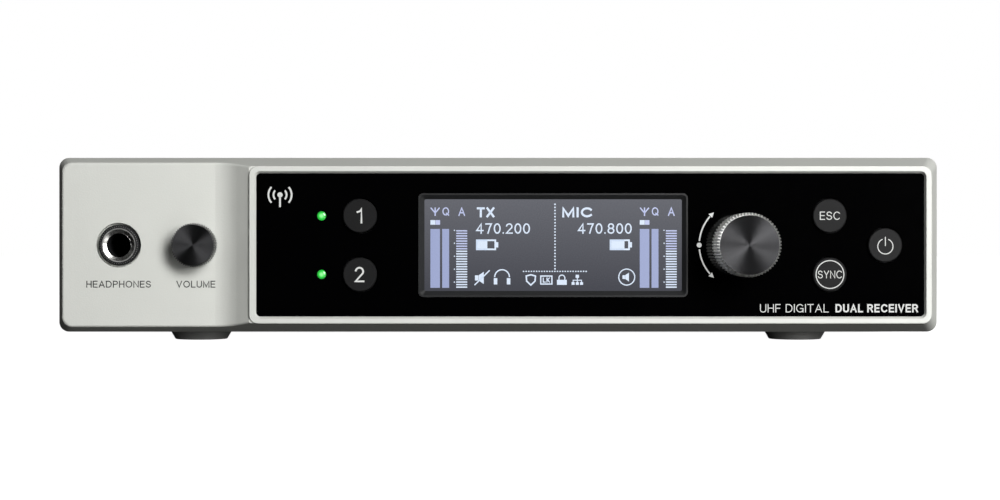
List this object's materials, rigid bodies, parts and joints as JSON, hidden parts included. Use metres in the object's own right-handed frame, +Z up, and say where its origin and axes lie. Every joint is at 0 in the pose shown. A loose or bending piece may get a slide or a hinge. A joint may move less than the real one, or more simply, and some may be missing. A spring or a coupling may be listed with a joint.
{
  "type": "wireless microphone receiver",
  "caption": "Half-rack wireless audio receiver with a glossy control window, display, push keys, jog dial, volume knob, headphone socket and rear audio, antenna and network sockets.",
  "frame": {"origin": "middle of the overall box, on the plane that the feet stand on", "axes": "+X to the right seen from the front, -Y towards the front (the controls), +Z up"},
  "size_m": [0.212, 0.189, 0.0444],
  "materials": {
    "light_paint": "satin light grey powder coat",
    "dark_paint": "fine-textured anthracite powder coat",
    "window_gloss": "high-gloss black",
    "display_black": "satin dark grey",
    "display_face": "lit display",
    "white_plastic": "moulded",
    "clear_pipe": "glowing green light pipe",
    "led_body": "moulded",
    "button_rubber": "satin dark grey",
    "black_plastic": "moulded, satin",
    "dark_aluminium": "anodised dark grey, turned face, knurled rim",
    "steel": "nickel-plated",
    "chrome": "nickel-plated, bright",
    "black_metal": "black zinc",
    "brass": "gold-plated",
    "board_green": "green solder mask",
    "ribbon_white": "flat flexible cable",
    "foot_grey": "satin grey"
  },
  "bodies": {
    "housing": {"antenna_contacts": "brass", "antenna_insulators": "white_plastic", "antenna_nuts": "chrome", "antenna_socket_left": "chrome", "antenna_socket_right": "chrome", "board_screws": "steel", "board_standoffs": "steel", "bottom_screws": "black_metal", "bottom_tray": "dark_paint", "button_switches": "black_plastic", "cable_hook": "black_plastic", "capacitors": "steel", "circuit_chips": "black_plastic", "control_window": "window_gloss", "cover_screws": "black_metal", "display_bezel": "display_black", "display_carrier": "white_plastic", "display_glass": "display_face", "display_ribbon": "ribbon_white", "encoder_housing": "black_plastic", "ethernet_socket": "black_plastic", "foot_front_left": "foot_grey", "foot_front_right": "foot_grey", "foot_rear_left": "foot_grey", "foot_rear_right": "foot_grey", "front_bezel": "light_paint", "front_board": "board_green", "front_board_screws": "steel", "light_pipes": "clear_pipe", "line_nuts": "chrome", "line_socket_1": "black_plastic", "line_socket_2": "black_plastic", "main_board": "board_green", "phones_contacts": "brass", "phones_nut": "chrome", "phones_socket": "black_plastic", "power_inlet": "black_plastic", "rear_panel": "dark_paint", "rf_shield_left": "steel", "rf_shield_right": "steel", "ribbon_sockets": "black_plastic", "status_leds": "led_body", "top_cover": "dark_paint", "volume_nut": "steel", "volume_pot": "black_plastic", "window_frame": "light_paint", "xlr_pins": "brass", "xlr_screws": "black_metal", "xlr_socket_1": "black_metal", "xlr_socket_2": "black_metal"},
    "dial_ring": {"encoder_rotor": "black_plastic"},
    "dial": {"encoder_shaft": "steel", "encoder_knob": "dark_aluminium"},
    "volume": {"volume_shaft": "steel", "volume_knob": "dark_aluminium"},
    "key_1": {"button_1": "button_rubber"},
    "key_2": {"button_2": "button_rubber"},
    "key_escape": {"button_escape": "button_rubber"},
    "key_sync": {"button_sync": "button_rubber"},
    "key_power": {"button_power": "button_rubber"}
  },
  "joints": [
    {"name": "press_1", "type": "slide", "parent": "housing", "child": "key_1", "axis": [0, 1, 0], "range_m": [0, 0.0006], "stiffness_N_per_m": 1500, "springref_m": -0.0003},
    {"name": "press_2", "type": "slide", "parent": "housing", "child": "key_2", "axis": [0, 1, 0], "range_m": [0, 0.0006], "stiffness_N_per_m": 1500, "springref_m": -0.0003},
    {"name": "press_escape", "type": "slide", "parent": "housing", "child": "key_escape", "axis": [0, 1, 0], "range_m": [0, 0.0006], "stiffness_N_per_m": 1500, "springref_m": -0.0003},
    {"name": "press_sync", "type": "slide", "parent": "housing", "child": "key_sync", "axis": [0, 1, 0], "range_m": [0, 0.0006], "stiffness_N_per_m": 1500, "springref_m": -0.0003},
    {"name": "press_power", "type": "slide", "parent": "housing", "child": "key_power", "axis": [0, 1, 0], "range_m": [0, 0.0006], "stiffness_N_per_m": 1500, "springref_m": -0.0003},
    {"name": "dial_turn", "type": "hinge", "parent": "housing", "child": "dial_ring", "pos_m": [0.0581, -0.082, 0.0233], "axis": [0, 1, 0], "continuous": true},
    {"name": "dial_press", "type": "slide", "parent": "dial_ring", "child": "dial", "axis": [0, 1, 0], "range_m": [0, 0.0005], "stiffness_N_per_m": 2000, "springref_m": -0.0003},
    {"name": "volume_turn", "type": "hinge", "parent": "housing", "child": "volume", "pos_m": [-0.0722, -0.08, 0.0233], "axis": [0, 1, 0], "range_deg": [-150, 150]}
  ]
}
